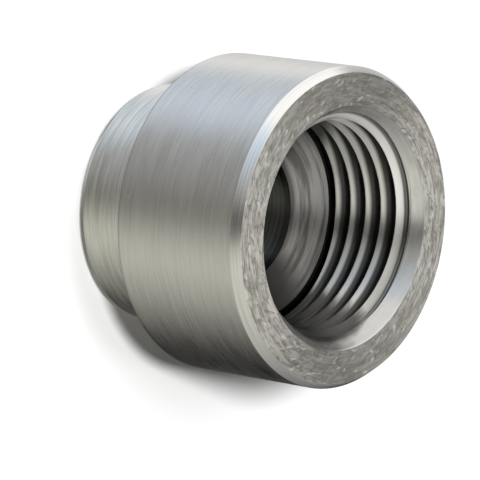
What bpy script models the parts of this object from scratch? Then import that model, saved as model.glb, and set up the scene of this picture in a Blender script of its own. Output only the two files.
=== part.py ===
# Weld-on gauge flange: one turned steel piece with a parallel pipe thread for a pressure gauge.
# The mouth faces +Z, the neck that goes into the vessel wall ends at Z = 0, and the axis is Z.

import math

import bmesh
import bpy

MM = 0.001

# Body, turned from bar
BODY_DIAMETER = 29.0 * MM
BODY_LENGTH = 14.4 * MM
FRONT_BEVEL_DEPTH = 0.85 * MM
FRONT_BEVEL_HEIGHT = 0.55 * MM
REAR_EDGE_BREAK = 0.2 * MM

# Neck that centres the flange in its hole and takes the weld
NECK_DIAMETER = 22.0 * MM
NECK_LENGTH = 9.1 * MM
NECK_FILLET = 0.6 * MM
NECK_BEVEL_HEIGHT = 1.4 * MM
NECK_BEVEL_DEPTH = 1.6 * MM

# G 1/2 thread, 14 turns to the inch, right-handed, with the crests bored a little open
THREAD_MAJOR_DIAMETER = 20.955 * MM
THREAD_PITCH = 1.814 * MM
THREAD_FLANK_ANGLE = math.radians(55)
THREAD_ROOT_FLAT = 0.30 * MM
THREAD_CREST_FLAT = 0.42 * MM
THREAD_PHASE_DEPTH = 2.75 * MM
THREAD_RUN_OUT = math.radians(70)

# Bore round the thread: lead cone, run-out groove, drill point and through hole
LEAD_CLEARANCE = 0.54 * MM
LEAD_CONE_ANGLE = math.radians(75)
GROOVE_START = 9.35 * MM
GROOVE_WIDTH = 0.8 * MM
GROOVE_CLEARANCE = 0.1 * MM
DRILL_POINT_ANGLE = math.radians(118)
HOLE_DIAMETER = 12.5 * MM
HOLE_EDGE_BREAK = 0.3 * MM

SIDES = 80
FILLET_STEPS = 5
SHARP_ANGLE = math.radians(25)
MERGE_DISTANCE = 0.001 * MM


def clear_scene():
    for obj in list(bpy.data.objects):
        bpy.data.objects.remove(obj, do_unlink=True)


def steel():
    """Bare turned steel, satin, a little warm."""
    material = bpy.data.materials.new("turned_steel")
    material.use_nodes = True
    shader = material.node_tree.nodes["Principled BSDF"]
    shader.inputs["Base Color"].default_value = (0.47, 0.46, 0.44, 1.0)
    shader.inputs["Metallic"].default_value = 1.0
    shader.inputs["Roughness"].default_value = 0.38
    return material


def neck_corner(shoulder_z):
    """The tool's round in the corner where the neck meets the shoulder, from the shoulder down."""
    centre_x = NECK_DIAMETER / 2 + NECK_FILLET
    centre_z = shoulder_z - NECK_FILLET
    turns = [math.radians(90) * (1 + i / FILLET_STEPS) for i in range(FILLET_STEPS + 1)]
    return [
        (centre_x + NECK_FILLET * math.cos(turn), centre_z + NECK_FILLET * math.sin(turn))
        for turn in turns
    ]


def outer_profile():
    """The turned outside as (radius, z), from the front face down to the end of the neck."""
    front_z = BODY_LENGTH + NECK_LENGTH
    body_radius = BODY_DIAMETER / 2
    neck_radius = NECK_DIAMETER / 2
    return [
        (body_radius - FRONT_BEVEL_HEIGHT, front_z),
        (body_radius, front_z - FRONT_BEVEL_DEPTH),
        (body_radius, NECK_LENGTH + REAR_EDGE_BREAK),
        (body_radius - REAR_EDGE_BREAK, NECK_LENGTH),
        *neck_corner(NECK_LENGTH),
        (neck_radius, NECK_BEVEL_DEPTH),
        (neck_radius - NECK_BEVEL_HEIGHT, 0.0),
    ]


def flank_slope():
    return math.tan(THREAD_FLANK_ANGLE / 2)


def crest_radius():
    """Where the flanks, starting from the root flat, have left only the crest flat between two turns."""
    flank_width = (THREAD_PITCH - THREAD_ROOT_FLAT - THREAD_CREST_FLAT) / 2
    return THREAD_MAJOR_DIAMETER / 2 - flank_width / flank_slope()


def inner_profile():
    """The bore as (radius, z), from the end of the neck up to the mouth."""
    front_z = BODY_LENGTH + NECK_LENGTH
    hole_radius = HOLE_DIAMETER / 2
    bore_radius = crest_radius()
    mouth_radius = THREAD_MAJOR_DIAMETER / 2 + LEAD_CLEARANCE
    groove_radius = THREAD_MAJOR_DIAMETER / 2 + GROOVE_CLEARANCE
    groove_end = GROOVE_START + GROOVE_WIDTH
    point_depth = (bore_radius - hole_radius) / math.tan(DRILL_POINT_ANGLE / 2)
    cone_depth = (mouth_radius - bore_radius) / math.tan(LEAD_CONE_ANGLE / 2)
    return [
        (hole_radius + HOLE_EDGE_BREAK, 0.0),
        (hole_radius, HOLE_EDGE_BREAK),
        (hole_radius, front_z - groove_end - point_depth),
        (bore_radius, front_z - groove_end),
        (groove_radius, front_z - groove_end),
        (groove_radius, front_z - GROOVE_START),
        (bore_radius, front_z - GROOVE_START),
        (bore_radius, front_z - cone_depth),
        (mouth_radius, front_z),
    ]


def turned_body(material):
    """One closed section turned through a full circle about Z."""
    section = outer_profile() + inner_profile()
    mesh = bpy.data.meshes.new("weld_flange")
    edges = [(i, (i + 1) % len(section)) for i in range(len(section))]
    mesh.from_pydata([(radius, 0.0, z) for radius, z in section], edges, [])
    mesh.materials.append(material)
    body = bpy.data.objects.new("weld_flange", mesh)
    bpy.context.scene.collection.objects.link(body)

    turning = body.modifiers.new("turning", "SCREW")
    turning.axis = "Z"
    turning.angle = math.radians(360)
    turning.steps = SIDES
    turning.render_steps = SIDES
    turning.use_merge_vertices = True
    turning.merge_threshold = MERGE_DISTANCE
    return body


def thread_section(left):
    """The groove's section as (radius, offset along the axis), left at 1 for its full depth and at 0 for none.

    It reaches into the open bore by half of what the crest flat allows, so that two turns never meet there.
    """
    crest_half_width = (THREAD_PITCH - THREAD_CREST_FLAT) / 2
    sink_width = THREAD_CREST_FLAT / 4
    sink = sink_width / flank_slope()
    open_radius = crest_radius() - sink
    faded_radius = crest_radius() - sink / 2
    root_radius = faded_radius + (THREAD_MAJOR_DIAMETER / 2 - faded_radius) * left
    open_half_width = crest_half_width + sink_width
    root_half_width = open_half_width - (root_radius - open_radius) * flank_slope()
    return [
        (open_radius, -open_half_width),
        (open_radius, open_half_width),
        (root_radius, root_half_width),
        (root_radius, -root_half_width),
    ]


def thread_cutter():
    """A ridge along the helix. It starts in front of the mouth and shrinks away inside the run-out groove."""
    front_z = BODY_LENGTH + NECK_LENGTH
    step_angle = math.tau / SIDES
    first_step = -math.ceil((THREAD_PHASE_DEPTH + THREAD_PITCH) / THREAD_PITCH * SIDES)
    last_depth = GROOVE_START + GROOVE_WIDTH - (THREAD_PITCH - THREAD_CREST_FLAT) / 2
    last_step = math.floor((last_depth - THREAD_PHASE_DEPTH) / THREAD_PITCH * SIDES)

    shape = bmesh.new()
    rings = []
    for step in range(first_step, last_step + 1):
        # Clockwise seen from the mouth, and deeper as it goes. Half a step sets its edges between the body's.
        turns = (step + 0.5) / SIDES
        angle = -turns * math.tau
        centre_z = front_z - THREAD_PHASE_DEPTH - THREAD_PITCH * turns
        left = min(1.0, (last_step - step) * step_angle / THREAD_RUN_OUT)
        rings.append([
            shape.verts.new((radius * math.cos(angle), radius * math.sin(angle), centre_z + offset))
            for radius, offset in thread_section(left)
        ])
    for ring, following in zip(rings, rings[1:]):
        for i in range(4):
            j = (i + 1) % 4
            shape.faces.new((ring[i], ring[j], following[j], following[i]))
    shape.faces.new(rings[0])
    shape.faces.new(rings[-1])
    bmesh.ops.recalc_face_normals(shape, faces=shape.faces)

    mesh = bpy.data.meshes.new("thread_cutter")
    shape.to_mesh(mesh)
    shape.free()
    cutter = bpy.data.objects.new("thread_cutter", mesh)
    bpy.context.scene.collection.objects.link(cutter)
    cutter.hide_render = True
    cutter.display_type = "WIRE"
    return cutter


def cut_thread(body, cutter):
    cut = body.modifiers.new("thread", "BOOLEAN")
    cut.operation = "DIFFERENCE"
    cut.solver = "EXACT"
    cut.object = cutter


def finish(body, cutter):
    """Makes the cut solid the object's own mesh, smooth on its round faces and crisp at its turned edges."""
    graph = bpy.context.evaluated_depsgraph_get()
    solid = bpy.data.meshes.new_from_object(body.evaluated_get(graph))
    body.modifiers.clear()
    body.data = solid
    solid.shade_smooth()
    solid.set_sharp_from_angle(angle=SHARP_ANGLE)
    bpy.data.objects.remove(cutter, do_unlink=True)


def main():
    clear_scene()
    body = turned_body(steel())
    cutter = thread_cutter()
    cut_thread(body, cutter)
    finish(body, cutter)


if __name__ == "__main__":
    main()
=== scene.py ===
"""Looks of the weld-on gauge flange: the finely turned piece, its steel and its studio.

The flange stands on the end of its neck, with the threaded mouth facing +Z. Depths are measured down the
axis from the front face. Angles round the axis are clockwise from +Y, seen from the mouth.
"""

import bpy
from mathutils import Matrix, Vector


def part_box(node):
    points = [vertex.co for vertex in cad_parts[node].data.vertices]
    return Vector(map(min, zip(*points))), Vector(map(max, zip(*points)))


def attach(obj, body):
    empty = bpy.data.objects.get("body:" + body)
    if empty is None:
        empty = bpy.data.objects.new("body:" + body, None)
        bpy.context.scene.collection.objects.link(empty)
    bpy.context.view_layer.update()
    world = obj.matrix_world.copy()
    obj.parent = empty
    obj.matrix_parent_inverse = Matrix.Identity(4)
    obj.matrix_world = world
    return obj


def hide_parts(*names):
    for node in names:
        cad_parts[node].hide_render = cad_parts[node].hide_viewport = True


bl_info = {
    "name": "Weld-on gauge flange",
    "version": (1, 0, 0),
    "blender": (4, 5, 0),
    "location": "3D View > Sidebar > Flange",
    "description": "Builds the turned steel flange with its pipe thread, and the studio round it",
    "category": "Object",
}

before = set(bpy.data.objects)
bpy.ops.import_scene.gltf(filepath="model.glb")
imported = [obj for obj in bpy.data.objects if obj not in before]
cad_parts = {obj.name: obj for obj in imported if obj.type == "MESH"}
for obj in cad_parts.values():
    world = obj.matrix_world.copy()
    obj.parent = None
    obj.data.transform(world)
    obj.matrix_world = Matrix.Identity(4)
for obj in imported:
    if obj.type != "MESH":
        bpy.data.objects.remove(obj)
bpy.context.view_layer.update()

import math

import bmesh
import bpy
import numpy as np
from bpy.props import FloatProperty, FloatVectorProperty, IntProperty, PointerProperty
from mathutils import Matrix, Vector

MM = 0.001
NODE = "weld_flange"
NODE_LOW, NODE_HIGH = (Vector(corner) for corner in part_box(NODE))

MERGE_DISTANCE = 0.001 * MM
SHARP_ANGLE = math.radians(32)
LONGEST_ROW = 0.8 * MM


def length(name, description, default):
    return FloatProperty(name=name, description=description, default=default, unit="LENGTH", precision=5)


def angle(name, description, degrees):
    return FloatProperty(
        name=name, description=description, default=math.radians(degrees), subtype="ANGLE", unit="ROTATION"
    )


def colour(name, description, default):
    return FloatVectorProperty(
        name=name, description=description, default=default, subtype="COLOR", size=3, min=0.0, max=1.0
    )


def factor(name, description, default):
    return FloatProperty(
        name=name, description=description, default=default, subtype="FACTOR", min=0.0, max=1.0
    )


def strength(name, description, default):
    return FloatProperty(name=name, description=description, default=default, min=0.0)


def millimetres(name, description, default):
    return FloatProperty(name=name, description=description, default=default, subtype="DISTANCE_CAMERA")


def count(name, description, default, least):
    return IntProperty(name=name, description=description, default=default, min=least)


class OutsideSizes(bpy.types.PropertyGroup):
    """The turned outside."""

    body_length: length("Body length", "From the front face to the shoulder", 14.4 * MM)
    bevel_width: length("Bevel width", "How far the front bevel reaches in across the face", 0.55 * MM)
    bevel_depth: length("Bevel depth", "How far the front bevel reaches down the body", 0.85 * MM)
    rear_break: length("Rear edge", "Broken edge at the body's rear", 0.2 * MM)
    neck_radius: length("Neck radius", "Radius of the neck that goes into the hole", 11.0 * MM)
    neck_fillet: length("Neck corner", "Round in the corner between neck and shoulder", 0.6 * MM)
    neck_bevel_width: length("Neck bevel width", "How far the end bevel reaches in", 1.4 * MM)
    neck_bevel_depth: length("Neck bevel depth", "How far the end bevel reaches up the neck", 1.6 * MM)
    edge_round: length("Edge round", "Round on the turned edges", 0.07 * MM)


class BoreSizes(bpy.types.PropertyGroup):
    """The bore and its thread."""

    major_radius: length("Thread root radius", "Radius at the bottom of the thread groove", 20.955 / 2 * MM)
    pitch: length("Pitch", "Distance from one turn to the next", 1.814 * MM)
    flank_angle: angle("Flank angle", "Angle between the two flanks of the groove", 55.0)
    root_flat: length("Root flat", "Width of the groove's bottom", 0.30 * MM)
    crest_flat: length("Crest flat", "Width left between two turns of the groove", 0.42 * MM)
    crest_round: length("Crest round", "Round at the thread's crests", 0.16 * MM)
    crest_lean: angle("Crest lean", "How far the worn crests face the mouth", 38.0)
    root_round: length("Root round", "Round in the thread's roots and where the cone cuts it", 0.14 * MM)
    phase_depth: length("Phase depth", "Depth of a groove's middle on the +X side", 2.84 * MM)
    lead_clearance: length("Lead clearance", "How far the mouth is wider than the thread's root", 0.54 * MM)
    start_lag: length("Start lag", "How much deeper than the even helix the first groove starts", 0.49 * MM)
    lead_angle: angle("Lead angle", "Full angle of the cone at the mouth", 75.0)
    run_out_start: length("Run-out start", "Depth where the run-out groove begins", 9.35 * MM)
    run_out_width: length("Run-out width", "Width of the run-out groove", 0.8 * MM)
    run_out_clearance: length("Run-out clearance", "How far it is deeper than the thread", 0.1 * MM)
    point_angle: angle("Drill point angle", "Full angle of the drilled cone", 118.0)
    hole_radius: length("Hole radius", "Radius of the hole to the vessel", 6.25 * MM)
    hole_break: length("Hole edge", "Broken edge at the end of the hole", 0.3 * MM)


class MeshDetail(bpy.types.PropertyGroup):
    """How finely the piece is meshed."""

    sides: count("Sides", "Columns of faces round the axis", 240, 24)
    turn_rows: count("Rows a turn", "Rows of faces in one turn of thread", 36, 12)
    arc_steps: count("Arc steps", "Faces across a rounded edge", 4, 1)


class SteelLook(bpy.types.PropertyGroup):
    """Colours and gloss of the bare steel."""

    steel: colour("Steel", "Bare turned steel", (0.50, 0.49, 0.47))
    # Painted reflection: the neck's steel is set lighter than the body's, standing in for the brighter
    # reflection on it
    neck: colour("Neck", "The neck, cut a little brighter than the body", (0.55, 0.54, 0.51))
    bevel: colour("Bevel", "The freshly cut front bevel", (0.62, 0.61, 0.59))
    faced: colour("Faced steel", "The duller front face", (0.45, 0.44, 0.405))
    stain: colour("Stains", "Dull brownish marks on the front face", (0.20, 0.187, 0.163))
    scuff: colour("Scuffs", "Bright flecks on the front face", (0.70, 0.70, 0.67))
    crest: colour("Crests", "The worn thread crests and the cone at the mouth", (0.72, 0.71, 0.68))
    # Painted shade: this dark colour is painted in the grooves, deep in the bore, in the hole, toward -Y
    # and along the body's rear edge
    painted_shade: colour("Oil", "Dark cutting oil left in the thread", (0.035, 0.034, 0.033))
    roughness: factor("Body roughness", "Roughness of the turned body", 0.30)
    neck_roughness: factor("Neck roughness", "Roughness of the neck", 0.36)
    bevel_roughness: factor("Bevel roughness", "Roughness of the front bevel", 0.24)
    bore_roughness: factor("Bore roughness", "Roughness of the bore", 0.31)
    face_roughness: factor("Face roughness", "Roughness of the front face", 0.46)
    grain: factor("Grain", "How far the reflections spread across the tool marks", 0.75)


class StudioLook(bpy.types.PropertyGroup):
    """Floor, light and camera."""

    floor: colour("Floor", "Colour of the floor", (0.90, 0.90, 0.90))
    light: strength("Light", "Strength of what the steel reflects", 1.0)
    lamps: strength("Lamps", "Strength of the floor's lamps together", 4.15)
    floor_share: factor("Floor share", "How much of what the steel reflects also lights the floor", 0.1)
    focal_length: millimetres("Focal length", "Focal length of the camera", 312.6)


# Profiles, as points (radius, depth)

# The plain rings begin this deep in the mouth's cone, and end this far in from the run-out groove's wall.
# The thread lies between. Rows less deep than the last of these belong to the front face
CONE_START = 0.15 * MM
GROOVE_LIP = 0.1 * MM
FACE_DEPTH = 0.01 * MM


def rounded(corners, steps):
    """A line through corners (radius, depth, round), each corner replaced by an arc of that round."""
    points = []
    for i, (radius, depth, size) in enumerate(corners):
        corner = Vector((radius, depth))
        if size <= 0 or i in (0, len(corners) - 1):
            points.append(corner)
            continue
        back = (Vector(corners[i - 1][:2]) - corner).normalized()
        ahead = (Vector(corners[i + 1][:2]) - corner).normalized()
        half = back.angle(ahead) / 2
        centre = corner + (back + ahead).normalized() * size / math.sin(half)
        start = corner + back * size / math.tan(half) - centre
        end = corner + ahead * size / math.tan(half) - centre
        turn = start.angle_signed(end)
        for step in range(steps + 1):
            # Positive angles turn clockwise in Vector.angle_signed
            points.append(centre + Matrix.Rotation(-turn * step / steps, 2) @ start)
    return points


def with_rows(points, longest):
    """The same line, with points added so that no stretch is longer than this."""
    filled = [points[0]]
    for start, end in zip(points, points[1:]):
        pieces = max(1, math.ceil((end - start).length / longest))
        filled += [start.lerp(end, i / pieces) for i in range(1, pieces + 1)]
    return filled


def crest_radius(bore):
    flank_width = (bore.pitch - bore.root_flat - bore.crest_flat) / 2
    return bore.major_radius - flank_width / math.tan(bore.flank_angle / 2)


def mouth_radius(bore):
    return bore.major_radius + bore.lead_clearance


# Thread, with angles in turns

# The angle of the +X side, how long the late start takes to catch up, and the first groove's number
PLUS_X = 0.25
CATCH_UP = 0.6
FIRST_GROOVE = -2


def smooth_max(a, b, size):
    """The larger of a and b, with a round of about this size where they cross."""
    near = np.clip(1 - np.abs(a - b) / size, 0, 1)
    return np.maximum(a, b) + near * near * size / 4


def thread_radius(bore, turns, depth):
    """Radius of the bore's wall inside the thread, at an angle and a depth."""
    slope = math.tan(bore.flank_angle / 2)
    crest = crest_radius(bore)
    groove = np.full_like(depth, crest - bore.pitch)
    last = math.ceil(bore.run_out_start / bore.pitch)
    for number in range(FIRST_GROOVE, last + 1):
        # The tool starts late and catches up with its helix within the hidden half of the first turn
        caught_up = np.clip((turns + number + CATCH_UP) / CATCH_UP, 0, 1)
        lag = bore.start_lag * (1 - caught_up * caught_up * (3 - 2 * caught_up))
        centre = bore.phase_depth + (turns - PLUS_X + number) * bore.pitch + lag
        flank = crest + ((bore.pitch - bore.crest_flat) / 2 - np.abs(depth - centre)) / slope
        groove = np.maximum(groove, flank)
    groove = -smooth_max(-groove, np.full_like(groove, -bore.major_radius), bore.root_round)
    # Each crest is highest at its far edge and falls away toward the mouth
    past_groove = (depth - bore.phase_depth - (turns - PLUS_X) * bore.pitch) % bore.pitch
    to_far_edge = np.maximum((bore.pitch + bore.crest_flat) / 2 - past_groove, 0)
    ridge = smooth_max(groove, crest + to_far_edge * math.tan(bore.crest_lean), bore.crest_round)
    cone = mouth_radius(bore) - depth * math.tan(bore.lead_angle / 2)
    return smooth_max(ridge, cone, bore.root_round)


def ring(radius, turns, depth):
    """World points of one ring."""
    angles = turns * math.tau
    return np.stack([radius * np.sin(angles), radius * np.cos(angles), NODE_HIGH.z - depth], axis=-1)


def outside_profile(outside, bore, steps):
    """From the mouth's edge over the front face, down the body and the neck, and in to the hole."""
    body_radius = (NODE_HIGH.x - NODE_LOW.x) / 2
    whole = NODE_HIGH.z - NODE_LOW.z
    edge = outside.edge_round
    mouth = mouth_radius(bore)
    lead_slope = math.tan(bore.lead_angle / 2)
    corners = [
        (mouth - CONE_START * lead_slope, CONE_START, 0),
        (mouth, 0.0, edge),
        (body_radius - outside.bevel_width, 0.0, edge),
        (body_radius, outside.bevel_depth, edge),
        (body_radius, outside.body_length - outside.rear_break, edge),
        (body_radius - outside.rear_break, outside.body_length, edge),
        (outside.neck_radius, outside.body_length, outside.neck_fillet),
        (outside.neck_radius, whole - outside.neck_bevel_depth, edge),
        (outside.neck_radius - outside.neck_bevel_width, whole, edge),
        (bore.hole_radius + bore.hole_break, whole, edge),
        (bore.hole_radius, whole - bore.hole_break, edge),
    ]
    return rounded(corners, steps)


def inside_profile(outside, bore, steps):
    """From the hole's far end up to the drilled cone and the run-out groove, where the thread ends."""
    whole = NODE_HIGH.z - NODE_LOW.z
    edge = outside.edge_round
    crest = crest_radius(bore)
    groove = bore.major_radius + bore.run_out_clearance
    groove_end = bore.run_out_start + bore.run_out_width
    cone_depth = (crest - bore.hole_radius) / math.tan(bore.point_angle / 2)
    corners = [
        (bore.hole_radius, whole - bore.hole_break, 0),
        (bore.hole_radius, groove_end + cone_depth, edge),
        (crest, groove_end, edge),
        (groove, groove_end, edge),
        (groove, bore.run_out_start, edge),
        (groove - GROOVE_LIP, bore.run_out_start, 0),
    ]
    return rounded(corners, steps)


def flange_mesh(outside, bore, detail):
    """The whole turned surface: rings for the plain stretches, and rows along the helix for the thread."""
    sides = detail.sides
    turns = np.arange(sides) / sides
    around = np.ones(sides)
    points, faces, zones = [], [], []

    def add_rings(profile, zone_of):
        first = len(points)
        for radius, depth in profile:
            points.extend(ring(radius * around, turns, depth * around))
        for row in range(len(profile) - 1):
            middle = (profile[row] + profile[row + 1]) / 2
            zone = zone_of(middle.x, middle.y)
            for side in range(sides):
                other = (side + 1) % sides
                a, b = first + row * sides, first + (row + 1) * sides
                faces.append((a + side, b + side, b + other, a + other))
                zones.append(zone)

    def outside_zone(radius, depth):
        if depth < FACE_DEPTH:
            return "face"
        if depth > outside.body_length:
            return "neck"
        return "bevel" if depth < outside.bevel_depth and radius > mouth_radius(bore) else "outside"

    outer = with_rows(outside_profile(outside, bore, detail.arc_steps), LONGEST_ROW)
    inner = with_rows(inside_profile(outside, bore, detail.arc_steps), LONGEST_ROW)
    add_rings(outer, outside_zone)
    add_rings(inner, lambda radius, depth: "drilled")

    # The thread, from the mouth's cone to the wall of the run-out groove. Its rows follow the helix, and
    # past either end they are held at it and merge
    start, end = outer[0].y, bore.run_out_start
    row_step = bore.pitch / detail.turn_rows
    lowest = math.floor(-bore.pitch / row_step)
    highest = math.ceil((end + bore.pitch) / row_step)
    first = len(points)
    rows = highest - lowest + 1
    for row in range(rows):
        depth = (lowest + row) * row_step + turns * bore.pitch
        depth = np.clip(depth, start, end)
        points.extend(ring(thread_radius(bore, turns, depth), turns, depth))
    wall = len(points)
    groove_lip = inner[-1]
    points.extend(ring(groove_lip.x * around, turns, groove_lip.y * around))

    for side in range(sides):
        other = (side + 1) % sides
        shift = detail.turn_rows if other == 0 else 0
        for row in range(rows - 1 - shift):
            a = first + row * sides + side
            b = first + (row + shift) * sides + other
            faces.append((a, b, b + sides, a + sides))
            zones.append("thread")
        last = first + (rows - 1) * sides
        faces.append((last + side, last + other, wall + other, wall + side))
        zones.append("drilled")
    return points, faces, zones


# Parts of the surface, in the order of the piece's materials
ZONES = ("outside", "bevel", "neck", "face", "thread", "drilled")


def turned_piece(scene):
    """The turned surface as one closed mesh, smooth on its round faces and crisp at its turned edges."""
    points, faces, zones = flange_mesh(scene.flange_outside, scene.flange_bore, scene.flange_detail)
    mesh = bpy.data.meshes.new("turned_flange")
    mesh.from_pydata([tuple(point) for point in points], [], faces)
    mesh.polygons.foreach_set("material_index", [ZONES.index(zone) for zone in zones])

    shape = bmesh.new()
    shape.from_mesh(mesh)
    bmesh.ops.remove_doubles(shape, verts=shape.verts, dist=MERGE_DISTANCE)
    bmesh.ops.dissolve_degenerate(shape, edges=shape.edges, dist=MERGE_DISTANCE)
    bmesh.ops.recalc_face_normals(shape, faces=shape.faces)
    open_edges = [edge for edge in shape.edges if not edge.is_manifold]
    shape.to_mesh(mesh)
    shape.free()
    if open_edges:
        raise RuntimeError(f"the turned surface has {len(open_edges)} open edges")
    mesh.shade_smooth()
    mesh.set_sharp_from_angle(angle=SHARP_ANGLE)

    piece = bpy.data.objects.new("turned_flange", mesh)
    scene.collection.objects.link(piece)
    return piece


# Materials, with lengths in millimetres

# The levels that most of a noise lies between
NOISE_SPAN = (0.3, 0.7)

# The quarter turn between a reflection that spreads along the tool marks and one that spreads across them
ACROSS_MARKS = 0.25


class Nodes:
    """Short ways to add nodes to a material's tree or the world's."""

    def __init__(self, tree):
        self.tree = tree

    def add(self, kind, **settings):
        node = self.tree.nodes.new(kind)
        for name, value in settings.items():
            setattr(node, name, value)
        return node

    def feed(self, socket, value):
        if isinstance(value, bpy.types.NodeSocket):
            self.tree.links.new(value, socket)
        else:
            socket.default_value = value

    def math(self, operation, a, b=0.0, c=0.0):
        node = self.add("ShaderNodeMath", operation=operation)
        for socket, value in zip(node.inputs, (a, b, c)):
            self.feed(socket, value)
        return node.outputs[0]

    def ramp(self, value, low, high, to_low=0.0, to_high=1.0, smooth=True):
        """value taken from the range low to high onto to_low to to_high, and held there."""
        node = self.add("ShaderNodeMapRange", interpolation_type="SMOOTHSTEP" if smooth else "LINEAR")
        for socket, number in zip(node.inputs, (value, low, high, to_low, to_high)):
            self.feed(socket, number)
        return node.outputs["Result"]

    def mix(self, share, a, b):
        """Colour a with this share of b in it."""
        node = self.add("ShaderNodeMix", data_type="RGBA")
        self.feed(node.inputs["Factor"], share)
        for name, value in (("A", a), ("B", b)):
            socket = next(s for s in node.inputs if s.name == name and s.type == "RGBA")
            self.feed(socket, value)
        return next(s for s in node.outputs if s.type == "RGBA")

    def noise(self, vector, detail=2.0, roughness=0.5, distortion=0.0):
        node = self.add("ShaderNodeTexNoise", noise_dimensions="3D")
        self.feed(node.inputs["Vector"], vector)
        settings = {"Scale": 1.0, "Detail": detail, "Roughness": roughness, "Distortion": distortion}
        for name, value in settings.items():
            node.inputs[name].default_value = value
        return node.outputs["Fac"]

    def position(self):
        """Sockets of x, y, z in the part's frame, in millimetres."""
        place = self.add("ShaderNodeTexCoord").outputs["Object"]
        scaled = self.add("ShaderNodeVectorMath", operation="SCALE")
        self.feed(scaled.inputs[0], place)
        scaled.inputs["Scale"].default_value = 1 / MM
        split = self.add("ShaderNodeSeparateXYZ")
        self.feed(split.inputs[0], scaled.outputs[0])
        return tuple(split.outputs)

    def radius(self, x, y):
        squares = self.math("ADD", self.math("MULTIPLY", x, x), self.math("MULTIPLY", y, y))
        return self.math("SQRT", squares)

    def turns(self, x, y):
        """The angle clockwise from +Y, from 0 to 1."""
        clockwise = self.math("DIVIDE", self.math("ARCTAN2", x, y), math.tau)
        return self.math("FRACT", self.math("ADD", clockwise, 1.0))

    def minus_y_side(self, y, radius):
        """1 on the -Y side, where most painted shade lies, and -1 on the +Y side."""
        return self.math("DIVIDE", y, self.math("MULTIPLY", radius, -1.0))

    def lathe_space(self, along, around, turn=0.0):
        """A vector whose first two parts go round the axis and whose third runs along the tool's path.

        Noise in it is drawn out into rings. along is how many cells it has to a millimetre of the profile,
        around how many to a radian, and turn how many radians the rings twist in a millimetre of radius.
        """
        x, y, z = self.position()
        radius = self.radius(x, y)
        path = self.math("SUBTRACT", radius, z)
        place = self.add("ShaderNodeCombineXYZ")
        self.feed(place.inputs["X"], self.math("DIVIDE", x, radius))
        self.feed(place.inputs["Y"], self.math("DIVIDE", y, radius))
        twisted = self.add("ShaderNodeVectorRotate", rotation_type="Z_AXIS")
        self.feed(twisted.inputs["Vector"], place.outputs[0])
        self.feed(twisted.inputs["Angle"], self.math("MULTIPLY", radius, turn))
        split = self.add("ShaderNodeSeparateXYZ")
        self.feed(split.inputs[0], twisted.outputs[0])
        node = self.add("ShaderNodeCombineXYZ")
        self.feed(node.inputs["X"], self.math("MULTIPLY", split.outputs[0], around))
        self.feed(node.inputs["Y"], self.math("MULTIPLY", split.outputs[1], around))
        self.feed(node.inputs["Z"], self.math("MULTIPLY", path, along))
        return node.outputs[0]

    def bump(self, height, strength, distance):
        node = self.add("ShaderNodeBump")
        self.feed(node.inputs["Height"], height)
        node.inputs["Strength"].default_value = strength
        node.inputs["Distance"].default_value = distance
        return node.outputs["Normal"]


def steel_material(name, grain):
    """A metal whose reflections spread across the tool marks, which run round the axis."""
    material = bpy.data.materials.new(name)
    material.use_nodes = True
    nodes = Nodes(material.node_tree)
    shader = material.node_tree.nodes["Principled BSDF"]
    shader.inputs["Metallic"].default_value = 1.0
    shader.inputs["Anisotropic"].default_value = grain
    shader.inputs["Anisotropic Rotation"].default_value = ACROSS_MARKS
    tangent = nodes.add("ShaderNodeTangent", direction_type="RADIAL", axis="Z")
    nodes.feed(shader.inputs["Tangent"], tangent.outputs[0])
    return material, nodes, shader


def shaded(rgb, share=1.0):
    """The colour times this share, with full alpha."""
    return (*(channel * share for channel in rgb), 1.0)


def blend(nodes, first, second, share):
    """The first value, with this share of the second in it."""
    shared = nodes.math("MULTIPLY", second, share)
    return nodes.math("ADD", nodes.math("MULTIPLY", first, 1 - share), shared)


def uneven_gloss(nodes, marks, roughness, where_low, where_high):
    """Roughness that follows the marks, with the last two numbers added where they are low and high."""
    return nodes.ramp(marks, *NOISE_SPAN, roughness + where_low, roughness + where_high)


# A thin line of painted shade at an edge: the heights above it where it begins and is full, and its shares
# there
EDGE_SHADE = (0.45, 0.15, 0.0, 0.5)

# The share of the broad bands in the turned outside's pattern
BAND_SHARE = 0.15


def outside_steel(look, name, rgb, roughness, bump=0.25, contrast=0.12, around=1.2, shaded_edge=None):
    """Fine turning lines over broader bands of slightly different cut.

    around is how many cells the lines have to a radian; the last argument is the height of a painted shade
    line.
    """
    material, nodes, shader = steel_material(name, look.grain)
    lines = nodes.noise(nodes.lathe_space(5.0, around), detail=3.0, roughness=0.6)
    bands = nodes.noise(nodes.lathe_space(0.7, 0.8), detail=2.0)
    tone = nodes.ramp(blend(nodes, lines, bands, BAND_SHARE), *NOISE_SPAN)
    cut = nodes.mix(tone, shaded(rgb, 1 - contrast), shaded(rgb, 1 + contrast))
    # A line of painted shade just above that edge
    if shaded_edge is not None:
        above = nodes.math("SUBTRACT", nodes.position()[2], shaded_edge / MM)
        cut = nodes.mix(nodes.ramp(above, *EDGE_SHADE), cut, shaded(look.painted_shade))
    nodes.feed(shader.inputs["Base Color"], cut)
    nodes.feed(shader.inputs["Roughness"], uneven_gloss(nodes, lines, roughness, -0.04, 0.06))
    nodes.feed(shader.inputs["Normal"], nodes.bump(lines, strength=bump, distance=0.02 * MM))
    return material


# Painted sheen: the face is painted lighter toward two opposite sides, where its reflection fans out. The
# direction of one of them, the squares of the cosine to it where the painted sheen begins and is full, and
# how bright the face is outside it and in it
SHEEN_X, SHEEN_Y = 0.978, 0.208
SHEEN_SPAN = (0.05, 0.9)
SHEEN_DIM, SHEEN_BRIGHT = 0.80, 1.36

# Marks on the face: the levels of their noise where they begin and are full, and their shares there
STAINED = (0.60, 0.38, 0.0, 0.65)
MOTTLED = (0.50, 0.32, 0.0, 0.55)
SCRATCHED = (0.42, 0.32, 0.0, 0.7)
FLECKED = (0.60, 0.72, 0.0, 0.65)


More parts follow.
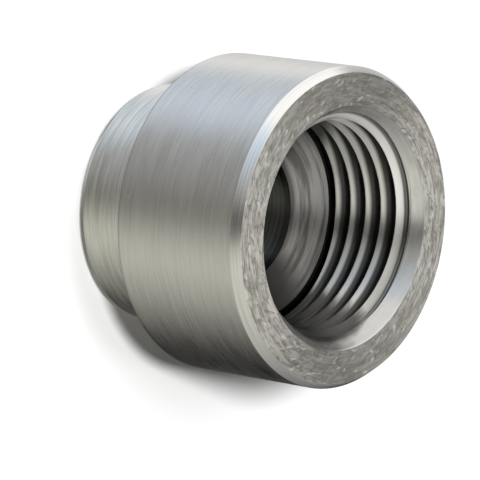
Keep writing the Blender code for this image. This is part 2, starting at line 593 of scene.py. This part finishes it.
def faced_steel(look):
    """The front face: dull, brownish stains, curved crossing scratches, a few bright flecks, painted sheen
    on two sides.
    """
    material, nodes, shader = steel_material("faced_front", look.grain)
    swirls = nodes.noise(nodes.lathe_space(2.6, 5.0, 0.12), detail=3.0, roughness=0.6, distortion=0.5)
    crossing = nodes.noise(nodes.lathe_space(3.6, 8.0, -0.22), detail=2.0, roughness=0.6, distortion=0.3)
    mottle = nodes.noise(nodes.lathe_space(2.2, 22.0, 0.06), detail=2.0, roughness=0.6, distortion=0.6)
    scratches = nodes.noise(nodes.lathe_space(6.0, 4.0, 0.16), detail=1.5, roughness=0.5, distortion=0.2)
    flecks = nodes.noise(nodes.lathe_space(1.7, 15.0, 0.08), detail=1.5, roughness=0.5, distortion=0.3)

    # Painted sheen: the face's colour is lighter toward two opposite sides
    x, y, _ = nodes.position()
    toward = nodes.math("MULTIPLY_ADD", x, SHEEN_X, nodes.math("MULTIPLY", y, SHEEN_Y))
    cosine = nodes.math("DIVIDE", toward, nodes.radius(x, y))
    sheen = nodes.ramp(nodes.math("MULTIPLY", cosine, cosine), *SHEEN_SPAN)
    base = nodes.mix(sheen, shaded(look.faced, SHEEN_DIM), shaded(look.faced, SHEEN_BRIGHT))

    dark = nodes.math("MAXIMUM", nodes.ramp(mottle, *MOTTLED), nodes.ramp(scratches, *SCRATCHED))
    base = nodes.mix(nodes.ramp(blend(nodes, swirls, crossing, 0.5), *STAINED), base, shaded(look.stain))
    base = nodes.mix(dark, base, shaded(look.stain))
    base = nodes.mix(nodes.ramp(flecks, *FLECKED), base, shaded(look.scuff))
    nodes.feed(shader.inputs["Base Color"], base)
    nodes.feed(shader.inputs["Roughness"], uneven_gloss(nodes, mottle, look.face_roughness, 0.10, -0.08))
    height = nodes.math("ADD", nodes.math("ADD", swirls, crossing), nodes.math("MULTIPLY", mottle, 0.8))
    nodes.feed(shader.inputs["Normal"], nodes.bump(height, strength=0.6, distance=0.05 * MM))
    return material


# Painted shade in the grooves: how far under the crests it begins and is full, how much lower it stands
# toward the
# +Y side, and how far it covers the steel
GROOVE_SHADE_LEVEL = (0.15, 0.44)
GROOVE_SHADE_LIFT = (-0.4, -0.9, 0.0, 0.14)
MOST_SHADE = 0.96

# The painted shade in the grooves leaves the first turn's lit flank up to an edge this far before the
# groove's middle.
# Between two angles the edge steps back a whole pitch, and the last pair is how soft it is
SHADE_EDGE_BEFORE = 0.68
SHADE_EDGE_STEP = (0.45, 0.95)
SHADE_EDGE_SOFTNESS = (-0.04, 0.04)

# A line of painted shade at the bottom of every groove: where it begins and is full, in from the root and
# out from the crests, and its share
LINE_FROM_ROOT = (0.38, 0.16)
LINE_UNDER_CREST = (0.02, 0.08)
LINE_SHARE = 0.78

# The crest steel's darkest and lightest shade, and how bright the crests' painted highlight is
CREST_STEEL_SHADES = (0.85, 1.12)
HIGHLIGHT_SHADE = 1.38

# Where the crests get the painted highlight, by side and by depth, and how much rougher they are there
HIGHLIGHT_SIDE = (-0.35, -0.75)
HIGHLIGHT_DEPTH = (1.0, 2.4)
HIGHLIGHT_ROUGHNESS = 0.26

# How far the streaks shift the edge of the painted shade toward -Y, and the depths between which it stands
# higher, as (begins, full, how much higher)
STREAK_SHIFT = 0.3
HIGHER_INWARD = ((0.6, 1.6, 0.2), (2.0, 9.0, 0.15))

# How much deeper a place on the +Y side counts, so that painted shade deep in the bore lies only there
UPPER_SHIFT = 15.0


def threaded_steel(look, bore):
    """Crests and mouth over grooves darkened with painted shade; the crests on the +Y side get a painted
    highlight.
    """
    material, nodes, shader = steel_material("threaded_bore", look.grain)
    x, y, z = nodes.position()
    radius = nodes.radius(x, y)
    depth = nodes.math("SUBTRACT", NODE_HIGH.z / MM, z)
    low = nodes.minus_y_side(y, radius)
    cone = nodes.math("MULTIPLY_ADD", depth, -math.tan(bore.lead_angle / 2), mouth_radius(bore) / MM)
    below = nodes.math("SUBTRACT", radius, nodes.math("MAXIMUM", cone, crest_radius(bore) / MM))
    # Painted shade: the grooves are darkened under the crests
    in_groove = nodes.ramp(nodes.math("SUBTRACT", below, nodes.ramp(low, *GROOVE_SHADE_LIFT)), *GROOVE_SHADE_LEVEL)

    # The painted shade in the grooves starts past the first turn's lit flank, where only the painted shade
    # line at its bottom is dark
    turns = nodes.turns(x, y)
    pitch = bore.pitch / MM
    edge = nodes.math("MULTIPLY_ADD", turns, pitch, bore.phase_depth / MM - SHADE_EDGE_BEFORE - PLUS_X * pitch)
    edge = nodes.math("SUBTRACT", edge, nodes.ramp(turns, *SHADE_EDGE_STEP, 0.0, pitch))
    beyond = nodes.ramp(nodes.math("SUBTRACT", depth, edge), *SHADE_EDGE_SOFTNESS)
    from_root = nodes.ramp(radius, *(bore.major_radius / MM - distance for distance in LINE_FROM_ROOT))
    line = nodes.math("MULTIPLY", from_root, nodes.ramp(below, *LINE_UNDER_CREST))
    line = nodes.math("MULTIPLY", line, LINE_SHARE)
    darkened = nodes.math("MAXIMUM", nodes.math("MULTIPLY", in_groove, beyond), line)

    # Painted shade: a thin layer on the -Y side, a heavier streaked one further toward -Y, one deep in the
    # bore on the
    # +Y side, and a slight darkening round the mouth
    streaks = nodes.noise(nodes.lathe_space(3.0, 2.5), detail=3.0, roughness=0.6)
    side_shade = nodes.math("ADD", low, nodes.math("MULTIPLY_ADD", streaks, STREAK_SHIFT, -STREAK_SHIFT / 2))
    for begins, full, higher in HIGHER_INWARD:
        side_shade = nodes.math("ADD", side_shade, nodes.ramp(depth, begins, full, 0.0, higher))
    deep_above = nodes.math("MULTIPLY_ADD", low, -UPPER_SHIFT, depth)
    for measure, begins, full, share in (
        (low, -0.2, 0.1, 0.37),
        (side_shade, 0.84, 1.10, 0.95),
        (deep_above, 18.5, 21.0, 0.85),
        (depth, 0.9, 0.4, 0.14),
    ):
        darkened = nodes.math("MAXIMUM", darkened, nodes.ramp(measure, begins, full, 0.0, share))

    # Painted highlight: the crests on the +Y side, past a depth, are painted brighter
    crest_highlight = nodes.math("MULTIPLY", nodes.ramp(low, *HIGHLIGHT_SIDE), nodes.ramp(depth, *HIGHLIGHT_DEPTH))
    crest_steel = nodes.mix(
        nodes.ramp(streaks, *NOISE_SPAN), *(shaded(look.crest, shade) for shade in CREST_STEEL_SHADES)
    )
    crest_steel = nodes.mix(crest_highlight, crest_steel, shaded(look.crest, HIGHLIGHT_SHADE))
    base = nodes.mix(nodes.math("MULTIPLY", darkened, MOST_SHADE), crest_steel, shaded(look.painted_shade))
    gloss = uneven_gloss(nodes, streaks, look.bore_roughness, -0.05, 0.08)
    nodes.feed(shader.inputs["Base Color"], base)
    nodes.feed(shader.inputs["Roughness"], nodes.math("MULTIPLY_ADD", crest_highlight, HIGHLIGHT_ROUGHNESS, gloss))
    nodes.feed(shader.inputs["Normal"], nodes.bump(streaks, strength=0.35, distance=0.03 * MM))
    return material


# Painted shade in the hole: how far outside the hole's wall it begins and is full, and its share in the
# hole
HOLE_SHADE = (0.7, 0.05)
HOLE_SHADE_SHARE = 0.75

# The drill's rings: their share of the grain, the span of their noise, and their darkest and lightest shade
DRILLED_GRAIN = 0.6
RING_SPAN = (0.38, 0.62)
RING_SHADES = (0.20, 0.60)


def drilled_steel(look, bore):
    """The drilled cone and the hole: dull, ringed by the drill, with painted shade in the hole and toward
    -Y.
    """
    material, nodes, shader = steel_material("drilled_bore", look.grain * DRILLED_GRAIN)
    rings = nodes.noise(nodes.lathe_space(3.6, 0.7), detail=3.0, roughness=0.65)
    x, y, _ = nodes.position()
    radius = nodes.radius(x, y)
    hole = bore.hole_radius / MM
    inward = nodes.ramp(radius, crest_radius(bore) / MM, hole, 0.0, 0.15)
    # Painted shade in the hole and toward -Y
    side_shade = nodes.math("ADD", nodes.minus_y_side(y, radius), inward)
    darkened = nodes.ramp(radius, *(hole + distance for distance in HOLE_SHADE), 0.0, HOLE_SHADE_SHARE)
    for begins, full, share in ((0.40, 0.90, 0.95), (-0.1, 0.2, 0.30)):
        darkened = nodes.math("MAXIMUM", darkened, nodes.ramp(side_shade, begins, full, 0.0, share))

    bare = nodes.mix(nodes.ramp(rings, *RING_SPAN), *(shaded(look.steel, shade) for shade in RING_SHADES))
    nodes.feed(shader.inputs["Base Color"], nodes.mix(darkened, bare, shaded(look.painted_shade)))
    nodes.feed(shader.inputs["Roughness"], uneven_gloss(nodes, rings, look.bore_roughness, -0.08, 0.06))
    nodes.feed(shader.inputs["Normal"], nodes.bump(rings, strength=0.4, distance=0.04 * MM))
    return material


# Studio

COOL, PLAIN, WARM = (0.87, 1.0, 1.15), (1.0, 1.0, 1.0), (1.0, 1.0, 0.90)

# What stands round the part, as (degrees, brightness, tint): low down, and from level to halfway up
BELOW = (
    (0, 1.16, COOL),
    (14, 1.02, COOL),
    (25, 0.88, COOL),
    (35, 1.20, PLAIN),
    (46, 1.52, PLAIN),
    (64, 0.92, PLAIN),
    (84, 0.80, PLAIN),
    (104, 0.02, PLAIN),
    (146, 0.0, PLAIN),
    (166, 0.05, PLAIN),
    (186, 0.30, WARM),
    (214, 0.75, WARM),
    (230, 0.94, WARM),
    (244, 0.86, WARM),
    (264, 0.44, WARM),
    (276, 0.34, WARM),
    (294, 0.46, PLAIN),
    (322, 0.60, PLAIN),
    (344, 1.16, COOL),
    (360, 1.16, COOL),
)
ABOVE = (
    (0, 1.60, PLAIN),
    (36, 1.65, PLAIN),
    (47, 0.36, PLAIN),
    (62, 0.20, PLAIN),
    (92, 0.70, PLAIN),
    (125, 0.60, PLAIN),
    (153, 0.42, PLAIN),
    (170, 0.52, PLAIN),
    (190, 0.68, WARM),
    (213, 0.78, WARM),
    (240, 0.86, WARM),
    (250, 0.72, WARM),
    (260, 0.27, WARM),
    (270, 0.16, WARM),
    (281, 0.30, PLAIN),
    (292, 0.52, PLAIN),
    (310, 0.85, COOL),
    (328, 1.20, COOL),
    (342, 1.60, PLAIN),
    (360, 1.60, PLAIN),
)
OVERHEAD = (1.15, 1.15, 1.12)

# Heights between which one gives way to the next, as the upward part of a direction of length 1
BELOW_TO_ABOVE = (-0.5, 0.05)
ABOVE_TO_OVERHEAD = (0.45, 0.9)

# A dim gap overhead along the X axis, on the side where the camera stands: its edges in Y, its start in X,
# and its brightness
GAP_EDGES = (0.24, 0.08)
GAP_START = (-0.10, -0.20)
GAP_LEVEL = 0.15


def surround_ramp(nodes, turns, table, brightest):
    """The table's tinted brightness at an angle in turns, as a share of the brightest."""
    ramp = nodes.add("ShaderNodeValToRGB")
    stops = ramp.color_ramp.elements
    while len(stops) < len(table):
        stops.new(0.5)
    for stop, (degrees, level, tint) in zip(stops, table):
        stop.position = degrees / 360
        stop.color = (*(level * channel / brightest for channel in tint), 1.0)
    nodes.feed(ramp.inputs[0], turns)
    return ramp.outputs["Color"]


def studio_world(scene, look):
    """What the steel reflects: brightest on the +Y side, and dark below between the +X and -Y sides.

    The camera sees plain white there instead, and the floor gets only a share of the light.
    """
    world = bpy.data.worlds.new("studio")
    scene.world = world
    world.use_nodes = True
    tree = world.node_tree
    nodes = Nodes(tree)
    background = tree.nodes["Background"]
    split = nodes.add("ShaderNodeSeparateXYZ")
    nodes.feed(split.inputs[0], nodes.add("ShaderNodeTexCoord").outputs["Generated"])
    x, y, z = split.outputs
    turns = nodes.turns(x, y)
    brightest = max(level * max(tint) for _, level, tint in BELOW + ABOVE)
    sides = nodes.mix(
        nodes.ramp(z, *BELOW_TO_ABOVE),
        surround_ramp(nodes, turns, BELOW, brightest),
        surround_ramp(nodes, turns, ABOVE, brightest),
    )
    off_middle = nodes.math("ABSOLUTE", y)
    gap = nodes.math("MULTIPLY", nodes.ramp(off_middle, *GAP_EDGES), nodes.ramp(x, *GAP_START))
    overhead = nodes.mix(gap, shaded(OVERHEAD, 1 / brightest), shaded(OVERHEAD, GAP_LEVEL / brightest))
    surround = nodes.mix(nodes.ramp(z, *ABOVE_TO_OVERHEAD), sides, overhead)
    path = nodes.add("ShaderNodeLightPath")
    seen = path.outputs["Is Camera Ray"]
    full = brightest * look.light
    diffuse = path.outputs["Is Diffuse Ray"]
    unseen = nodes.ramp(diffuse, 0.0, 1.0, full, full * look.floor_share, smooth=False)
    nodes.feed(background.inputs["Color"], nodes.mix(seen, surround, shaded(PLAIN)))
    nodes.feed(background.inputs["Strength"], nodes.ramp(seen, 0.0, 1.0, unseen, 1.0, smooth=False))
    world.cycles.sampling_method = "NONE"


# Soft lamps near the camera, as (direction, share of the strength, width)
FLOOR_LAMPS = (
    (Vector((-0.78, 0.19, 1.0)), 0.78, math.radians(7)),
    (Vector((-0.40, 0.24, 1.0)), 0.22, math.radians(16)),
)


def floor_lamps(scene, look):
    """Soft lamps that light only the floor, so that the part's shadow falls behind and below it."""
    for number, (direction, share, width) in enumerate(FLOOR_LAMPS, start=1):
        data = bpy.data.lights.new(f"floor_lamp_{number}", "SUN")
        data.energy = look.lamps * share
        data.angle = width
        lamp = bpy.data.objects.new(f"floor_lamp_{number}", data)
        lamp.rotation_mode = "QUATERNION"
        lamp.rotation_quaternion = direction.to_track_quat("Z", "Y")
        lamp.visible_glossy = False
        scene.collection.objects.link(lamp)


FLOOR_REACH = 1.5
FLOOR_ROUGHNESS = 0.9


def floor_piece(scene, look):
    """A plain pale floor. The steel reflects the studio's surround in its place."""
    mesh = bpy.data.meshes.new("floor")
    corners = [(x * FLOOR_REACH, y * FLOOR_REACH, 0) for x, y in ((-1, -1), (1, -1), (1, 1), (-1, 1))]
    mesh.from_pydata(corners, [], [(0, 1, 2, 3)])
    floor = bpy.data.objects.new("floor", mesh)
    floor.location.z = NODE_LOW.z
    floor.visible_glossy = False
    scene.collection.objects.link(floor)

    material = bpy.data.materials.new("pale_floor")
    material.use_nodes = True
    shader = material.node_tree.nodes["Principled BSDF"]
    shader.inputs["Base Color"].default_value = shaded(look.floor)
    shader.inputs["Roughness"].default_value = FLOOR_ROUGHNESS
    shader.inputs["Specular IOR Level"].default_value = 0.0
    mesh.materials.append(material)


# The camera: its place from the middle of the front face, its own right and back directions, and its sizes
CAMERA_PLACE = Vector((-283.45, 26.09, 237.87)) * MM
CAMERA_RIGHT = Vector((0.6643, 0.0847, 0.7427))
CAMERA_BACK = Vector((-0.7475, 0.0752, 0.6600))
SENSOR_WIDTH = 36.0
CLIP_START, CLIP_END = 0.01, 10.0


def studio_camera(scene, look):
    data = bpy.data.cameras.new("camera")
    data.sensor_width = SENSOR_WIDTH
    data.lens = look.focal_length
    data.clip_start = CLIP_START
    data.clip_end = CLIP_END
    camera = bpy.data.objects.new("camera", data)
    scene.collection.objects.link(camera)
    back = CAMERA_BACK.normalized()
    right = (CAMERA_RIGHT - back * CAMERA_RIGHT.dot(back)).normalized()
    up = back.cross(right)
    turn = Matrix((right, up, back)).transposed().to_4x4()
    camera.matrix_world = Matrix.Translation(CAMERA_PLACE + Vector((0, 0, NODE_HIGH.z))) @ turn
    scene.camera = camera


# Operators, panel and registration

class FLANGE_OT_turned_piece(bpy.types.Operator):
    """Build the finely turned flange with its thread, in place of the plain solid"""

    bl_idname = "flange.turned_piece"
    bl_label = "Turned flange"

    def execute(self, context):
        scene = context.scene
        look = scene.flange_steel
        piece = turned_piece(scene)
        shoulder = NODE_HIGH.z - scene.flange_outside.body_length
        for material in (
            outside_steel(
                look, "turned_outside", look.steel, look.roughness,
                bump=0.18, contrast=0.10, around=3.5, shaded_edge=shoulder,
            ),
            outside_steel(look, "cut_bevel", look.bevel, look.bevel_roughness),
            outside_steel(
                look, "turned_neck", look.neck, look.neck_roughness, bump=0.4, contrast=0.20, around=2.4
            ),
            faced_steel(look),
            threaded_steel(look, scene.flange_bore),
            drilled_steel(look, scene.flange_bore),
        ):
            piece.data.materials.append(material)
        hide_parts(NODE)
        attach(piece, "root")
        return {"FINISHED"}


class FLANGE_OT_studio(bpy.types.Operator):
    """Build the pale floor, the soft studio light and the camera"""

    bl_idname = "flange.studio"
    bl_label = "Studio"

    def execute(self, context):
        scene = context.scene
        look = scene.flange_studio
        scene.view_settings.view_transform = "Standard"
        studio_world(scene, look)
        floor_piece(scene, look)
        floor_lamps(scene, look)
        studio_camera(scene, look)
        return {"FINISHED"}


class FLANGE_PT_sidebar(bpy.types.Panel):
    """The flange's pieces and sizes"""

    bl_idname = "FLANGE_PT_sidebar"
    bl_label = "Gauge flange"
    bl_space_type = "VIEW_3D"
    bl_region_type = "UI"
    bl_category = "Flange"

    def draw(self, context):
        for operator in OPERATORS:
            self.layout.operator(operator.bl_idname)
        for name, group in SCENE_PROPERTIES.items():
            box = self.layout.box()
            for entry in group.__annotations__:
                box.prop(getattr(context.scene, name), entry)


OPERATORS = (FLANGE_OT_turned_piece, FLANGE_OT_studio)
SCENE_PROPERTIES = {
    "flange_outside": OutsideSizes,
    "flange_bore": BoreSizes,
    "flange_detail": MeshDetail,
    "flange_steel": SteelLook,
    "flange_studio": StudioLook,
}
CLASSES = (*SCENE_PROPERTIES.values(), *OPERATORS, FLANGE_PT_sidebar)


def register():
    for item in CLASSES:
        bpy.utils.register_class(item)
    for name, group in SCENE_PROPERTIES.items():
        setattr(bpy.types.Scene, name, PointerProperty(type=group))


def unregister():
    for name in SCENE_PROPERTIES:
        delattr(bpy.types.Scene, name)
    for item in reversed(CLASSES):
        bpy.utils.unregister_class(item)


def main():
    register()
    bpy.ops.flange.turned_piece()
    bpy.ops.flange.studio()


if __name__ == "__main__":
    main()
